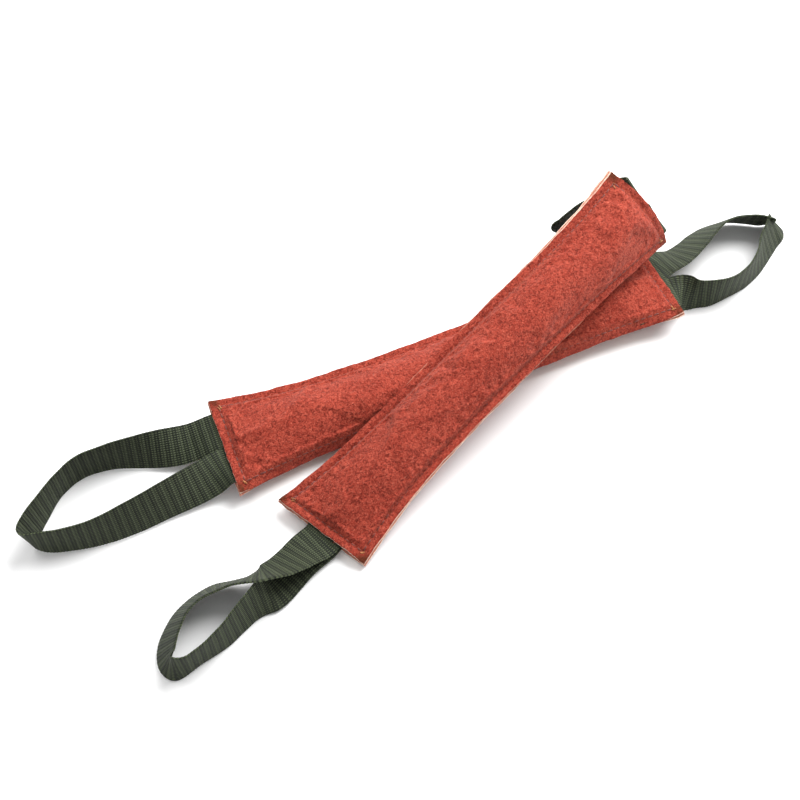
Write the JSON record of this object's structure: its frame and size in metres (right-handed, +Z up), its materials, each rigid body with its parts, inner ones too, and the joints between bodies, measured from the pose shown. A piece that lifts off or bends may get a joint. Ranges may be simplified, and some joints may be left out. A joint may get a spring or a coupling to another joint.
{
  "type": "suede bite tug pair",
  "caption": "Stuffed suede bite sticks, flared at both ends, with a flat webbing hand loop sewn into each end seam; one stick lies crossed over the other.",
  "frame": {"origin": "on the flat face that the lower stick rests on, under the middle of that stick", "axes": "+X along the lower stick towards its right end, +Z up, +Y to the left of the lower stick"},
  "size_m": [0.5462, 0.1917, 0.0789],
  "materials": {
    "suede": "napped suede, rust red",
    "fill": "packed fibre",
    "thread": "heavy sewing thread, dark rust",
    "webbing": "coarse basket weave, dark olive"
  },
  "bodies": {
    "lower_stick": {"lower_top_panel": "suede", "lower_bottom_panel": "suede", "lower_stuffing": "fill", "lower_needle_thread": "thread", "lower_bobbin_thread": "thread", "lower_left_tails": "webbing", "lower_right_tails": "webbing"},
    "lower_loop_left": {"lower_left_loop": "webbing"},
    "lower_loop_right": {"lower_right_loop": "webbing"},
    "upper_stick": {"upper_top_panel": "suede", "upper_bottom_panel": "suede", "upper_stuffing": "fill", "upper_needle_thread": "thread", "upper_bobbin_thread": "thread", "upper_near_tails": "webbing", "upper_far_tails": "webbing"},
    "upper_loop_near": {"upper_near_loop": "webbing"},
    "upper_loop_far": {"upper_far_loop": "webbing"}
  },
  "joints": [
    {"name": "lower_left_fold", "type": "hinge", "parent": "lower_stick", "child": "lower_loop_left", "pos_m": [-0.15355, 0.00429, 0.01501], "axis": [0.067, 0.994, 0.087], "range_deg": [-60, 80]},
    {"name": "lower_right_fold", "type": "hinge", "parent": "lower_stick", "child": "lower_loop_right", "pos_m": [0.15744, 0.00213, 0.01511], "axis": [-0.0549, -0.9971, 0.0523], "range_deg": [-40, 40]},
    {"name": "upper_lift", "type": "slide", "parent": "lower_stick", "child": "upper_stick", "axis": [0, 0, 1], "range_m": [0, 0.1]},
    {"name": "upper_near_fold", "type": "hinge", "parent": "upper_stick", "child": "upper_loop_near", "pos_m": [-0.12027, -0.07322, 0.00534], "axis": [-0.4558, 0.8876, 0.0656], "range_deg": [-60, 80]},
    {"name": "upper_far_fold", "type": "hinge", "parent": "upper_stick", "child": "upper_loop_far", "pos_m": [0.1545, 0.03189, 0.05861], "axis": [0.4527, -0.5144, -0.7283], "range_deg": [0, 100]}
  ]
}
